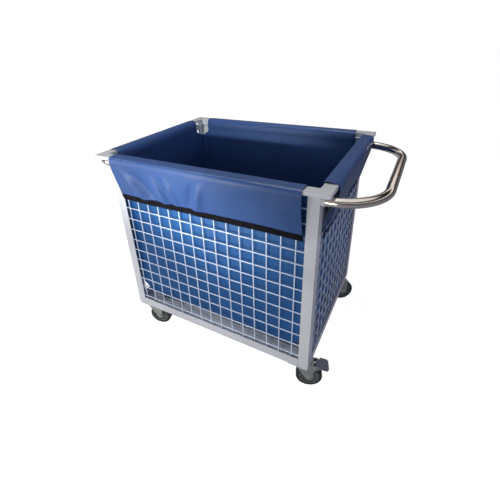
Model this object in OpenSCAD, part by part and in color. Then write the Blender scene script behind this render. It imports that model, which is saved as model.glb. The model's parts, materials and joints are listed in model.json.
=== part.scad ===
// Wire mesh linen cart: angle-section frame, fabric liner with four flaps, two tube handles, four castors.
// Millimetres, +Z up. The origin is on the floor, under the middle of the whole cart.

/* [Frame] */
// Length of the frame over the corner posts, along X
frame_length = 815; // [700:5:1000]
// Width of the frame over the corner posts, along Y
frame_width = 620; // [520:5:800]
// Height from the underside of the base rails to the top of the rim
frame_height = 724; // [600:2:900]
// Width of each leg of the angle section
angle_leg = 38; // [30:1:45]
// Thickness of the angle section
angle_wall = 3; // [2:0.5:4]
// Thickness of the base plate
base_plate_thick = 3; // [2:0.5:4]

/* [Rim] */
// How far the rim stands out from the posts
rim_overhang = 36; // [30:1:45]
// Width of the rim, seen from above
rim_width = 39; // [34:1:42]
// Height of the rim
rim_height = 12; // [10:1:20]
// Length of each bare arm of a rim corner
rim_arm = 77; // [72:1:100]

/* [Mesh] */
// Distance between neighbouring wires
mesh_pitch = 50; // [40:5:60]
// Diameter of a wire
wire_diameter = 4; // [3:0.5:5]
// First upright wire, from the left post's outer face
mesh_first_upright = 47; // [42:1:50]
// Lowest level wire, from the underside of the base rails
mesh_first_level = 52; // [46:1:60]

/* [Liner] */
// Thickness of the liner cloth
cloth = 2; // [1.5:0.5:3]
// Gap between the liner and the mesh
liner_gap = 2.5; // [2:0.5:10]
// Depth of the slit between neighbouring liner walls at each corner
slit_depth = 75; // [60:5:100]
// Height of the lower edge of the flaps, from the underside of the base rails
flap_drop_level = 547; // [500:1:580]
// Height of the binding along each flap's lower edge
hem_height = 20; // [15:1:25]
// Thickness of the binding
hem_thick = 4; // [3:0.5:5]

/* [Handles] */
// Diameter of the handle tube
tube_diameter = 30; // [25:1:32]
// Wall thickness of the handle tube
tube_wall = 1.5; // [1:0.5:2.5]
// Height of the handle tubes, from the underside of the base rails
handle_level = 682; // [640:1:690]
// Half the distance between the two arms of a handle
handle_arm_y = 294; // [285:1:295]
// Reach of the right handle, from the middle of the frame to the middle of the tube
right_reach = 568; // [540:1:620]
// Bend radius of the right handle
right_bend = 145; // [100:1:150]
// Reach of the left handle, from the middle of the frame to the middle of the tube
left_reach = 515; // [505:1:560]
// Bend radius of the left handle
left_bend = 95; // [60:1:96]

/* [Castors] */
// Diameter of the wheels
wheel_diameter = 100; // [90:1:100]
// Width of the tyre
tyre_width = 32; // [26:1:34]
// Height of a castor, from the floor to its top face
castor_height = 127; // [127:1:140]
// Distance of the axle behind the swivel axis
castor_trail = 34; // [28:1:36]
// Distance of the swivel axes from the middle of the frame, along X
castor_x = 367; // [340:1:367]
// Distance of the swivel axes from the middle of the frame, along Y
castor_y = 268; // [240:1:272]

/* [Hidden] */
SIDES = ["front", "back", "left", "right"];
CORNERS = ["front_left", "front_right", "back_left", "back_right"];

round_fn = 64;
gap = 0.5;                        // air between pieces that don't touch
weld_gap = 0.02;                  // level and upright wires lie against each other
run_clear = 0.05;                 // radial clearance of a running fit
through = 1;                      // how far a cutting tool passes each face

// signs of each corner, and the way each castor trails
SIGN = [[-1, -1], [1, -1], [-1, 1], [1, 1]];
TRAIL_ANGLE = [15, 20, 10, 40];

half_x = frame_length / 2;
half_y = frame_width / 2;
bearer_thick = 3;
base_z = castor_height + bearer_thick;
top_z = base_z + frame_height;
rim_z = top_z - rim_height;
plate_z = base_z + angle_wall;
plate_top = plate_z + base_plate_thick;
rim_x = half_x + rim_overhang;
rim_y = half_y + rim_overhang;
tube_r = tube_diameter / 2;
socket_length = 10;
socket_r = tube_r + 1;
handle_z = base_z + handle_level;
shift_x = (left_reach - right_reach) / 2;

wire_r = wire_diameter / 2;
level_x = half_x - angle_wall - wire_r;
level_y = half_y - angle_wall - wire_r;
upright_x = level_x - wire_diameter - weld_gap;
upright_y = level_y - wire_diameter - weld_gap;
upright_top = rim_z - wire_diameter;
upright_end = 3 * angle_wall;     // the upright wires stop this far from the outer faces of the posts

liner_x = upright_x - wire_r - liner_gap;
liner_y = upright_y - wire_r - liner_gap;
liner_floor_z = plate_top + gap;
wall_z = liner_floor_z + cloth;
rim_cloth_gap = 0.2;              // air between the rim and the cloth over it
lip_z = top_z + rim_cloth_gap;    // underside of the cloth that lies on the rim
flap_z = base_z + flap_drop_level;
hem_stand_off = 1;                // air between the posts' faces and a flap's hem
hem_out = cloth + hem_stand_off;  // from the post face to the middle of the flap at its hem
rim_cloth_out = cloth / 2 + rim_cloth_gap;
flap_half_x = rim_x - rim_arm - gap;
flap_half_y = rim_y - rim_arm - gap;

wheel_r = wheel_diameter / 2;
castor_plate = [76, 64, 3];
plate_bottom = castor_height - castor_plate[2];
bolt_spots = [30, 23];
bolt_r = 4;
bolt_clear = 0.3;
bolt_head = [7, 5];               // radius and height
crown_z = 114.5;
crown_top = plate_bottom - gap;
crown_r = 26;
bridge_thick = 4;                 // plate that joins the two legs of a fork
bridge_z = crown_z - bridge_thick;
kingpin_r = 8;
kingpin_flange = [11, 3.5];       // radius and thickness of the pin's lower end
axle_r = 6;
axle_head = [9.6, 5];             // radius and thickness
axle_hole_r = axle_r + 0.1;
hub_half = 18;
hub_r = 13;
leg_gap = 19;                     // from the middle of a wheel to the inside of a leg
leg_thick = 3;
leg_out = leg_gap + leg_thick;
leg_reach = [-20, 50];            // ends of a leg's upper edge, along the way the castor trails
leg_foot_r = 14;
rim_of_wheel_r = 38;
wheel_wall = 5;
web_half = 5;
tyre_corner = 6;
tyre_proud = 1;                   // the tyre stands this far out of the wheel centre's rim

// brake pedal, in the plane of the fork: [distance behind the swivel axis, height]
pedal_pivot = [62, 104];
pedal_pin_r = 3;
pedal_pin_proud = 2;
eye_r = 8;
arm_root = [[40, crown_z], [44, 84]];
lever_outline = [[56, 100], [66, 98], [78, 104], [78, 110], [56, 109]];
pad_outline = [[63, 99], [67, 93], [72, 93], [74, 106], [66, 106]];
pad_half = 12;
tread_start = [73, 109];
tread_slope = 15;
tread_size = [33, 52, 4.5];
tread_corner = 10;

// moves the frame's middle so that the origin is under the middle of the whole cart
module placed() {
    translate([shift_x, 0, 0]) children();
}

// an angle section along +Z, its outer corner on the Z axis, its legs along +X and +Y
module angle_bar(length) {
    linear_extrude(length)
        polygon([[0, 0], [angle_leg, 0], [angle_leg, angle_wall], [angle_wall, angle_wall],
                 [angle_wall, angle_leg], [0, angle_leg]]);
}

module corner_post(s) {
    color("white") placed()
        translate([s[0] * half_x, s[1] * half_y, base_z])
            mirror([s[0] > 0 ? 1 : 0, 0, 0]) mirror([0, s[1] > 0 ? 1 : 0, 0])
                angle_bar(rim_z - base_z);
}

// a base rail along X at the front; its lower leg points inwards
module base_rail_x(s) {
    length = frame_length - 2 * angle_leg;
    color("white") placed() mirror([0, s > 0 ? 1 : 0, 0])
        translate([-length / 2, -half_y, base_z]) rotate([90, 0, 90]) angle_bar(length);
}

module base_rail_y(s) {
    length = frame_width - 2 * angle_leg;
    color("white") placed() mirror([s > 0 ? 1 : 0, 0, 0])
        translate([-half_x, length / 2, base_z]) rotate([90, 0, 0]) angle_bar(length);
}

module base_plate() {
    inner_x = half_x - angle_wall - gap;
    inner_y = half_y - angle_wall - gap;
    color("lightgray") placed()
        translate([-inner_x, -inner_y, plate_z]) cube([2 * inner_x, 2 * inner_y, base_plate_thick]);
}

// a flat bar under the base that a pair of castors is bolted to
module castor_bearer(sx) {
    color("white") placed() difference() {
        translate([sx * castor_x - castor_plate[0] / 2, -half_y, castor_height])
            cube([castor_plate[0], frame_width, bearer_thick]);
        for (sy = [-1, 1])
            translate([sx * castor_x, sy * castor_y, castor_height]) bolt_holes(bearer_thick);
    }
}

module bolt_holes(depth) {
    for (bx = [-1, 1], by = [-1, 1])
        translate([bx * bolt_spots[0], by * bolt_spots[1], -through])
            cylinder(r = bolt_r + bolt_clear, h = depth + 2 * through, $fn = round_fn);
}

module rim_rail_x(s) {
    length = 2 * (rim_x - rim_arm);
    color("white") placed()
        translate([-length / 2, s > 0 ? rim_y - rim_width : -rim_y, rim_z])
            cube([length, rim_width, rim_height]);
}

module rim_rail_y(s) {
    length = 2 * (rim_y - rim_arm);
    color("white") placed()
        translate([s > 0 ? rim_x - rim_width : -rim_x, -length / 2, rim_z])
            cube([rim_width, length, rim_height]);
}

// the bare L of the rim at a corner, standing on the post
module rim_corner(s) {
    color("white") placed()
        translate([s[0] * rim_x, s[1] * rim_y, rim_z])
            mirror([s[0] > 0 ? 1 : 0, 0, 0]) mirror([0, s[1] > 0 ? 1 : 0, 0])
                linear_extrude(rim_height)
                    polygon([[0, 0], [rim_arm, 0], [rim_arm, rim_width], [rim_width, rim_width],
                             [rim_width, rim_arm], [0, rim_arm]]);
}

// how many wires fit in a given length
function wire_count(room) = floor(room / mesh_pitch) + 1;

module level_wires(length) {
    for (i = [0 : wire_count(rim_z - base_z - mesh_first_level) - 1])
        translate([-length / 2, 0, base_z + mesh_first_level + i * mesh_pitch])
            rotate([0, 90, 0]) cylinder(r = wire_r, h = length, $fn = round_fn);
}

module upright_wires(first, count) {
    for (i = [0 : count - 1])
        translate([first + i * mesh_pitch, 0, plate_top + gap])
            cylinder(r = wire_r, h = upright_top - plate_top - gap, $fn = round_fn);
}

// mesh of a long side: level wires lie against the posts, upright wires behind them
module mesh_x(s) {
    first = mesh_first_upright - half_x;
    count = wire_count(half_x - upright_end - first);
    color("white") placed() {
        translate([0, s * level_y, 0]) level_wires(2 * (level_x - wire_r - gap));
        translate([0, s * upright_y, 0]) upright_wires(first, count);
    }
}

module mesh_y(s) {
    count = wire_count(2 * (half_y - upright_end) - mesh_pitch);
    first = -(count - 1) * mesh_pitch / 2;
    color("white") placed() {
        translate([s * level_x, 0, 0]) rotate([0, 0, 90]) level_wires(2 * (level_y - wire_r - gap));
        translate([s * upright_x, 0, 0]) rotate([0, 0, 90]) upright_wires(first, count);
    }
}

module liner_floor() {
    color("royalblue") placed()
        translate([-liner_x, -liner_y, liner_floor_z]) cube([2 * liner_x, 2 * liner_y, cloth]);
}

// a liner wall of a given half length, in the XZ plane; its upper corners are slit free
module wall_outline(half, slit_half) {
    linear_extrude(cloth)
        polygon([[-half, wall_z], [half, wall_z], [half, top_z - slit_depth],
                 [slit_half, top_z - slit_depth], [slit_half, lip_z - gap], [-slit_half, lip_z - gap],
                 [-slit_half, top_z - slit_depth], [-half, top_z - slit_depth]]);
}

module liner_wall_x(s) {
    color("royalblue") placed() mirror([0, s > 0 ? 1 : 0, 0])
        translate([0, cloth - liner_y, 0]) rotate([90, 0, 0])
            wall_outline(liner_x - cloth, flap_half_x);
}

module liner_wall_y(s) {
    color("royalblue") placed() mirror([s > 0 ? 1 : 0, 0, 0])
        translate([-liner_x, 0, 0]) rotate([90, 0, 90]) wall_outline(liner_y, flap_half_y);
}

// the middle line of a flap's cloth, from the liner over the rim and down to the hem;
// u is the distance from the middle of the cart
function flap_line(inner, post, rim) = [
    [inner, lip_z + cloth / 2],
    [rim + rim_cloth_out, lip_z + cloth / 2],
    [rim + rim_cloth_out, rim_z - cloth],
    [post + hem_out, flap_z + hem_height]];

function unit(v) = v / norm(v);
function left_of(v) = [-v[1], v[0]];
// sideways step at point i of a line, so that a strip keeps its thickness round a bend
function side_step(p, i) =
    let (a = left_of(unit(p[min(i + 1, len(p) - 1)] - p[min(i, len(p) - 2)])),
         b = left_of(unit(p[max(i, 1)] - p[max(i - 1, 0)])))
    (a + b) / (1 + a * b);

// a strip of cloth that follows a line, drawn in the plane of the line
module strip(p) {
    one = [for (i = [0 : len(p) - 1]) p[i] + side_step(p, i) * cloth / 2];
    two = [for (i = [len(p) - 1 : -1 : 0]) p[i] - side_step(p, i) * cloth / 2];
    polygon(concat(one, two));
}

module flap_x(s) {
    color("steelblue") placed() mirror([0, s > 0 ? 0 : 1, 0])
        translate([-flap_half_x, 0, 0]) rotate([90, 0, 90])
            linear_extrude(2 * flap_half_x) strip(flap_line(liner_y - cloth / 2, half_y, rim_y));
}

module flap_y(s) {
    color("steelblue") placed() mirror([s > 0 ? 0 : 1, 0, 0])
        translate([0, flap_half_y, 0]) rotate([90, 0, 0])
            linear_extrude(2 * flap_half_y) strip(flap_line(liner_x - cloth / 2, half_x, rim_x));
}

module flap_hem_x(s) {
    color("black") placed() mirror([0, s > 0 ? 0 : 1, 0])
        translate([-flap_half_x, half_y + hem_out - hem_thick / 2, flap_z])
            cube([2 * flap_half_x, hem_thick, hem_height - gap]);
}

module flap_hem_y(s) {
    color("black") placed() mirror([s > 0 ? 0 : 1, 0, 0])
        translate([half_x + hem_out - hem_thick / 2, -flap_half_y, flap_z])
            cube([hem_thick, 2 * flap_half_y, hem_height - gap]);
}

module tube_straight(length) {
    difference() {
        cylinder(r = tube_r, h = length, $fn = round_fn);
        translate([0, 0, -through])
            cylinder(r = tube_r - tube_wall, h = length + 2 * through, $fn = round_fn);
    }
}

module tube_bend(radius) {
    rotate_extrude(angle = 90, $fn = 2 * round_fn) translate([radius, 0]) difference() {
        circle(r = tube_r, $fn = round_fn);
        circle(r = tube_r - tube_wall, $fn = round_fn);
    }
}

// a bow of tube with its arms along +X and its crossbar along Y
module handle(reach, bend) {
    start = half_x + socket_length;
    arm = reach - bend - start;
    cross_half = handle_arm_y - bend;
    translate([0, 0, handle_z]) {
        for (sy = [0, 1]) mirror([0, sy, 0]) {
            translate([start, handle_arm_y, 0]) rotate([0, 90, 0]) tube_straight(arm);
            translate([reach - bend, cross_half, 0]) tube_bend(bend);
        }
        translate([reach, cross_half, 0]) rotate([90, 0, 0]) tube_straight(2 * cross_half);
    }
}

module handle_right() {
    color("silver") placed() handle(right_reach, right_bend);
}

module handle_left() {
    color("silver") placed() mirror([1, 0, 0]) handle(left_reach, left_bend);
}

module handle_sockets() {
    color("white") placed()
        for (sx = [0, 1], sy = [-1, 1]) mirror([sx, 0, 0])
            translate([half_x, sy * handle_arm_y, handle_z]) rotate([0, 90, 0])
                cylinder(r = socket_r, h = socket_length, $fn = round_fn);
}

// puts a castor's own parts under its corner, at the angle that the castor trails
module at_castor(i, turned = true) {
    translate([SIGN[i][0] * castor_x, SIGN[i][1] * castor_y, 0])
        rotate([0, 0, turned ? TRAIL_ANGLE[i] : 0]) children();
}

module castor_top_plates() {
    pin_bottom = bridge_z - gap - kingpin_flange[1];
    color("silver") placed() for (i = [0 : 3]) at_castor(i, false) {
        difference() {
            translate([-castor_plate[0] / 2, -castor_plate[1] / 2, plate_bottom]) cube(castor_plate);
            translate([0, 0, plate_bottom]) bolt_holes(castor_plate[2]);
        }
        translate([0, 0, pin_bottom]) {
            cylinder(r = kingpin_r, h = plate_bottom - pin_bottom, $fn = round_fn);
            cylinder(r = kingpin_flange[0], h = kingpin_flange[1], $fn = round_fn);
        }
    }
}

module castor_bolts() {
    head_z = plate_bottom - bolt_head[1];
    color("gray") placed() for (i = [0 : 3]) at_castor(i, false)
        for (bx = [-1, 1], by = [-1, 1])
            translate([bx * bolt_spots[0], by * bolt_spots[1], head_z]) {
                cylinder(r = bolt_head[0], h = bolt_head[1], $fn = 6);
                cylinder(r = bolt_r, h = base_z - head_z - gap, $fn = round_fn);
            }
}

// side plate of a fork, drawn in the XZ plane
module fork_leg(braked) {
    axle = [castor_trail, wheel_r];
    difference() {
        union() {
            polygon([[leg_reach[0], crown_z], [leg_reach[1], crown_z], axle + [leg_foot_r, 0],
                     axle - [leg_foot_r, 0]]);
            translate(axle) circle(r = leg_foot_r, $fn = round_fn);
            if (braked) {
                translate(pedal_pivot) circle(r = eye_r, $fn = round_fn);
                polygon([arm_root[0], pedal_pivot + [0, eye_r], pedal_pivot - [0, eye_r], arm_root[1]]);
            }
        }
        translate(axle) circle(r = axle_hole_r, $fn = round_fn);
        if (braked) translate(pedal_pivot) circle(r = pedal_pin_r + run_clear, $fn = round_fn);
    }
}

module castor_fork(i, braked) {
    color("silver") placed() at_castor(i) {
        difference() {
            union() {
                translate([0, 0, crown_z]) cylinder(r = crown_r, h = crown_top - crown_z, $fn = round_fn);
                translate([leg_reach[0], -leg_out, bridge_z])
                    cube([leg_reach[1] - leg_reach[0], 2 * leg_out, bridge_thick]);
            }
            translate([0, 0, bridge_z - through])
                cylinder(r = kingpin_r + run_clear, h = crown_top, $fn = round_fn);
        }
        for (sy = [-1, 1])
            translate([0, sy > 0 ? leg_out : -leg_gap, 0]) rotate([90, 0, 0])
                linear_extrude(leg_thick) fork_leg(braked);
    }
}

// puts a turned part on a wheel's axle, its own Z axis along the axle
module on_axle(i) {
    placed() at_castor(i) translate([castor_trail, 0, wheel_r]) rotate([90, 0, 0]) children();
}

module axle_bolt(i) {
    color("gray") on_axle(i) {
        translate([0, 0, -leg_out]) cylinder(r = axle_r, h = 2 * leg_out, $fn = round_fn);
        for (z = [leg_out, -leg_out - axle_head[1]])
            translate([0, 0, z]) cylinder(r = axle_head[0], h = axle_head[1], $fn = 6);
    }
}

module wheel_centre(i) {
    flange_in = rim_of_wheel_r - wheel_wall;
    rim_half = tyre_width / 2 - tyre_proud;
    bore = axle_r + run_clear;
    color("gray") on_axle(i) rotate_extrude($fn = 2 * round_fn)
        polygon([[bore, -hub_half], [hub_r, -hub_half], [hub_r, -web_half], [flange_in, -web_half],
                 [flange_in, -rim_half], [rim_of_wheel_r, -rim_half], [rim_of_wheel_r, rim_half],
                 [flange_in, rim_half], [flange_in, web_half], [hub_r, web_half],
                 [hub_r, hub_half], [bore, hub_half]]);
}

module tyre(i) {
    side = tyre_width / 2;
    depth = wheel_r - rim_of_wheel_r;
    color("dimgray") on_axle(i) rotate_extrude($fn = 2 * round_fn) {
        translate([rim_of_wheel_r, -side]) square([depth - tyre_corner, tyre_width]);
        translate([rim_of_wheel_r, tyre_corner - side]) square([depth, tyre_width - 2 * tyre_corner]);
        for (s = [-1, 1])
            translate([wheel_r - tyre_corner, s * (side - tyre_corner)])
                circle(r = tyre_corner, $fn = round_fn);
    }
}

// plate under the foot: its outline is straight at the lever and rounded at the far end
module tread() {
    half = tread_size[1] / 2;
    straight = tread_size[0] - tread_corner;
    translate([tread_start[0], 0, tread_start[1]]) rotate([0, tread_slope, 0])
        translate([0, 0, -tread_size[2] / 2]) linear_extrude(tread_size[2]) {
            translate([0, -half]) square([straight, 2 * half]);
            translate([0, tread_corner - half]) square([tread_size[0], 2 * (half - tread_corner)]);
            for (s = [-1, 1])
                translate([straight, s * (half - tread_corner)]) circle(r = tread_corner, $fn = round_fn);
        }
}

// an outline in the plane of the fork, made thick to both sides of it
module across_fork(half) {
    translate([0, half, 0]) rotate([90, 0, 0]) linear_extrude(2 * half) children();
}

// foot lever between the fork's legs; its pad comes down on the tyre
module brake_pedal(i) {
    color("darkslategray") placed() at_castor(i) {
        across_fork(leg_out + pedal_pin_proud)
            translate(pedal_pivot) circle(r = pedal_pin_r, $fn = round_fn);
        across_fork(leg_gap - 2 * gap) polygon(lever_outline);
        across_fork(pad_half) polygon(pad_outline);
        tread();
    }
}

corner_post(SIGN[0]);  // corner_post_front_left
corner_post(SIGN[1]);  // corner_post_front_right
corner_post(SIGN[2]);  // corner_post_back_left
corner_post(SIGN[3]);  // corner_post_back_right
base_rail_x(-1);  // base_rail_front
base_rail_x(1);  // base_rail_back
base_rail_y(-1);  // base_rail_left
base_rail_y(1);  // base_rail_right
base_plate();
castor_bearer(-1);  // castor_bearer_left
castor_bearer(1);  // castor_bearer_right
rim_rail_x(-1);  // rim_rail_front
rim_rail_x(1);  // rim_rail_back
rim_rail_y(-1);  // rim_rail_left
rim_rail_y(1);  // rim_rail_right
rim_corner(SIGN[0]);  // rim_corner_front_left
rim_corner(SIGN[1]);  // rim_corner_front_right
rim_corner(SIGN[2]);  // rim_corner_back_left
rim_corner(SIGN[3]);  // rim_corner_back_right
mesh_x(-1);  // mesh_front
mesh_x(1);  // mesh_back
mesh_y(-1);  // mesh_left
mesh_y(1);  // mesh_right
liner_floor();
liner_wall_x(-1);  // liner_wall_front
liner_wall_x(1);  // liner_wall_back
liner_wall_y(-1);  // liner_wall_left
liner_wall_y(1);  // liner_wall_right
flap_x(-1);  // flap_front
flap_x(1);  // flap_back
flap_y(-1);  // flap_left
flap_y(1);  // flap_right
flap_hem_x(-1);  // flap_hem_front
flap_hem_x(1);  // flap_hem_back
flap_hem_y(-1);  // flap_hem_left
flap_hem_y(1);  // flap_hem_right
handle_right();
handle_left();
handle_sockets();
castor_top_plates();
castor_bolts();
castor_fork(0, false);  // castor_fork_front_left
castor_fork(1, true);  // castor_fork_front_right
castor_fork(2, true);  // castor_fork_back_left
castor_fork(3, false);  // castor_fork_back_right
axle_bolt(0);  // axle_bolt_front_left
axle_bolt(1);  // axle_bolt_front_right
axle_bolt(2);  // axle_bolt_back_left
axle_bolt(3);  // axle_bolt_back_right
wheel_centre(0);  // wheel_centre_front_left
wheel_centre(1);  // wheel_centre_front_right
wheel_centre(2);  // wheel_centre_back_left
wheel_centre(3);  // wheel_centre_back_right
tyre(0);  // tyre_front_left
tyre(1);  // tyre_front_right
tyre(2);  // tyre_back_left
tyre(3);  // tyre_back_right
brake_pedal(1);  // brake_pedal_front_right
brake_pedal(2);  // brake_pedal_back_left
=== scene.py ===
"""A wire mesh linen cart: the cloth bag, its flaps and every finish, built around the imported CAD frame.

Metres, in the frame of the CAD model: the floor is z = 0, the push handle is at +X, the front is at -Y.
"""

import json
import math

import bpy
from mathutils import Matrix, Vector, noise


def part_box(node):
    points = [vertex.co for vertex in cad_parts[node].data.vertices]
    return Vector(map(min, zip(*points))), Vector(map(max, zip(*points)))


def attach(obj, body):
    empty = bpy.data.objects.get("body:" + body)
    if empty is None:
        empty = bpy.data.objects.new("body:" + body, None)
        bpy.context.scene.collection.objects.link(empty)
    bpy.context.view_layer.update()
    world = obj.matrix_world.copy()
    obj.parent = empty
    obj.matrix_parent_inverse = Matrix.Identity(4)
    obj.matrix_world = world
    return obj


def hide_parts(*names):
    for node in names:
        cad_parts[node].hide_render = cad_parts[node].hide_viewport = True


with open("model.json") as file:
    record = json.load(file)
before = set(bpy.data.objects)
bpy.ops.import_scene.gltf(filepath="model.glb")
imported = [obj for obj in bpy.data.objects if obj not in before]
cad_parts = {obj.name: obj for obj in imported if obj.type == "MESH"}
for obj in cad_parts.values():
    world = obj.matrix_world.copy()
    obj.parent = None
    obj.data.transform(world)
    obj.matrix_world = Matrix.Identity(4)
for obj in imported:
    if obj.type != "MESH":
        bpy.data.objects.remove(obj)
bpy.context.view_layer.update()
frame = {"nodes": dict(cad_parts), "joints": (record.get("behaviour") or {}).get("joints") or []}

MM = 0.001

# The camera: where it stands, and how it is turned and framed.
CAMERA_PLACE = (0.6027, -1.1485, 1.2310)
CAMERA_AZIMUTH, CAMERA_ELEVATION, CAMERA_ROLL = 29.90, 26.53, -2.45
CAMERA_LENS, SENSOR_WIDTH = 24.50, 36.0
CAMERA_SHIFT = (0.02307, -0.08818)

# Measures of the frame, from its CAD nodes.
POST_LOW, POST_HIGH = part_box("corner_post_front_left")[0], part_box("corner_post_back_right")[1]
RIM_LOW, RIM_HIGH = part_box("rim_corner_front_left")[0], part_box("rim_corner_back_right")[1]
LINER_LOW, LINER_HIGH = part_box("liner_floor")
HEM_LOW, HEM_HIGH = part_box("flap_hem_front")
MID_X, MID_Y = (POST_LOW.x + POST_HIGH.x) / 2, (POST_LOW.y + POST_HIGH.y) / 2
TOP = RIM_HIGH.z
RIM_UNDER = RIM_LOW.z

# The cloth.
CLOTH = 1.2 * MM
FACE_WEIGHT = 95                          # keeps the shading of a cloth's face flat up to its cut edge
SLIT_DEPTH = TOP - 75 * MM                # level at which the bag's corners part
TUCK = 32 * MM                            # how far a flap's cloth reaches down inside the rim
LAP = 6 * MM                              # how far it goes on behind the top of the bag's wall
LAP_STEP = 0.15 * MM
# How much shorter a flap is at its near and far ends.
TRIM = {"left": (28 * MM, 0), "back": (0, 6 * MM)}
BINDING_HIGH = HEM_HIGH.z - HEM_LOW.z + 7 * MM   # the photo's binding is taller than the CAD hem


class Side:
    """One side of the cart: it turns (along, out, up) into the frame's own coordinates."""

    def __init__(self, name, along, out):
        self.name, self.seed = name, len(name)
        self.along, self.out = Vector(along), Vector(out)
        lengthwise = bool(along[0])
        low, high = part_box(f"flap_{name}")
        self.flap_half = (high.x - low.x) / 2 if lengthwise else (high.y - low.y) / 2
        self.post = POST_HIGH.y - MID_Y if lengthwise else POST_HIGH.x - MID_X
        self.rim = RIM_HIGH.y - MID_Y if lengthwise else RIM_HIGH.x - MID_X
        self.wall = LINER_HIGH.y - MID_Y if lengthwise else LINER_HIGH.x - MID_X
        self.half = LINER_HIGH.x - MID_X if lengthwise else LINER_HIGH.y - MID_Y
        trims = TRIM.get(name, (0, 0))
        self.near, self.far = trims[0] - self.flap_half, self.flap_half - trims[1]

    def across(self, share):
        """How far along the flap a share from -1 to 1 is."""
        return self.near + (self.far - self.near) * (share + 1) / 2

    def at(self, along, out, up):
        flat = self.along * along + self.out * out
        return Vector((MID_X + flat.x, MID_Y + flat.y, up))


# Counter-clockwise from above, so that each side's far end meets the next side's near end.
SIDES = [
    Side("front", (1, 0, 0), (0, -1, 0)),
    Side("right", (0, 1, 0), (1, 0, 0)),
    Side("back", (-1, 0, 0), (0, 1, 0)),
    Side("left", (0, -1, 0), (-1, 0, 0)),
]


def lerp(a, b, t):
    return a + (b - a) * t


def smooth(t):
    t = min(1.0, max(0.0, t))
    return t * t * (3 - 2 * t)


def wander(x, y, seed, scale):
    """Smooth noise from -1 to 1; scale is the length of one swell."""
    return noise.noise(Vector((x / scale, y / scale, seed * 7.31)))


# ---------------------------------------------------------------- objects

TUBE_SIDES = 8
SKEW = Vector((0.31, 0.52, 0.79))         # no path runs this way, so its cross product never vanishes
LUMP_STEP = 2.4                           # turns the lumps of a bead from ring to ring, in radians


def add_object(name, vertices, faces, materials, body="root", slot=None):
    mesh = bpy.data.meshes.new(name)
    mesh.from_pydata([tuple(v) for v in vertices], [], faces)
    mesh.validate()
    for polygon in mesh.polygons:
        polygon.use_smooth = True
    for m in materials:
        mesh.materials.append(m)
    piece = bpy.data.objects.new(name, mesh)
    bpy.context.scene.collection.objects.link(piece)
    if body:
        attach(piece, body)
    return piece


def add_modifier(piece, kind, **settings):
    modifier = piece.modifiers.new(kind.lower(), kind)
    for name, value in settings.items():
        setattr(modifier, name, value)
    return modifier


def grid_faces(rows, columns, closed=False):
    """Quads of a grid of vertices that is stored row by row."""
    faces = []
    for i in range(rows - 1):
        for j in range(columns if closed else columns - 1):
            k = (j + 1) % columns
            a, b = i * columns, (i + 1) * columns
            faces.append((a + j, a + k, b + k, b + j))
    return faces


def sweep(rings):
    """Closed rings joined into a tube with flat ends."""
    count = len(rings[0])
    vertices = [p for ring in rings for p in ring]
    faces = grid_faces(len(rings), count, closed=True)
    faces.append(tuple(range(count - 1, -1, -1)))
    faces.append(tuple(range((len(rings) - 1) * count, len(rings) * count)))
    return vertices, faces


def tube_rings(path, radius, lumps=0.0):
    """Rings round a path; lumps makes the tube as uneven as a weld bead."""
    rings = []
    for i, p in enumerate(path):
        ahead = (path[min(i + 1, len(path) - 1)] - path[max(i - 1, 0)]).normalized()
        across = ahead.cross(SKEW).normalized()
        other = ahead.cross(across)
        size = radius * (1 + lumps * math.sin(i * LUMP_STEP))
        turns = [2 * math.pi * k / TUBE_SIDES for k in range(TUBE_SIDES)]
        rings.append([p + (across * math.cos(t) + other * math.sin(t)) * size for t in turns])
    return rings


def join(parts):
    """Several (vertices, faces) pairs as one."""
    vertices, faces = [], []
    for part_vertices, part_faces in parts:
        start = len(vertices)
        vertices.extend(part_vertices)
        faces.extend(tuple(start + i for i in f) for f in part_faces)
    return vertices, faces


# ---------------------------------------------------------------- materials

# How fine each kind of surface detail is, in swells per metre.
PAINT_CLOUDS, PAINT_POLISH, PAINT_SCUFFS = 6.0, 24.0, 140.0
CLOTH_CLOUDS, CLOTH_SPECKS, CLOTH_POLISH, CLOTH_CREASES = 5.0, 90.0, 14.0, 26.0
TAPE_DUST, TAPE_POLISH = 60.0, 40.0
METAL_TONES, METAL_POLISH = 18.0, 120.0
MOULDED_DUST, MOULDED_POLISH = 30.0, 70.0

CLOTH_ROUGHNESS = 0.46
CLOTH_WEAVE, TAPE_WEAVE = 1.5 * MM, 1.8 * MM
THREAD_SHARE, CREASE_SHARE = 0.2, 3.5     # how high threads and creases stand in the cloth's bump
PEEL_DEPTH, CLOTH_DEPTH, TAPE_DEPTH, SCRATCH_DEPTH, GRAIN_DEPTH = (
    0.12 * MM, 0.5 * MM, 0.25 * MM, 0.05 * MM, 0.15 * MM)
WAVE_TURN = math.pi / 10                  # a wave texture of scale 1 repeats every 2 pi / 20


def new_material(name, **values):
    """A material whose shader has these uniform values; underscores in their names stand for spaces."""
    material = bpy.data.materials.new(name)
    material.use_nodes = True
    shader = material.node_tree.nodes["Principled BSDF"]
    for key, value in values.items():
        shader.inputs[key.replace("_", " ")].default_value = value
    return material, material.node_tree, shader


def add_node(tree, kind, settings=None, inputs=None):
    """A shader node; an input is a plain value or another node's output."""
    made = tree.nodes.new("ShaderNode" + kind)
    for key, value in (settings or {}).items():
        setattr(made, key, value)
    for key, value in (inputs or {}).items():
        if isinstance(value, bpy.types.NodeSocket):
            tree.links.new(value, made.inputs[key])
        else:
            made.inputs[key].default_value = value
    return made


def own_coordinates(tree):
    return add_node(tree, "TexCoord").outputs["Object"]


def mottle(tree, scale, detail=3.0, roughness=0.55):
    """Noise from 0 to 1; scale is swells per metre."""
    inputs = {"Vector": own_coordinates(tree), "Scale": scale, "Detail": detail, "Roughness": roughness}
    return add_node(tree, "TexNoise", inputs=inputs).outputs["Fac"]


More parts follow.
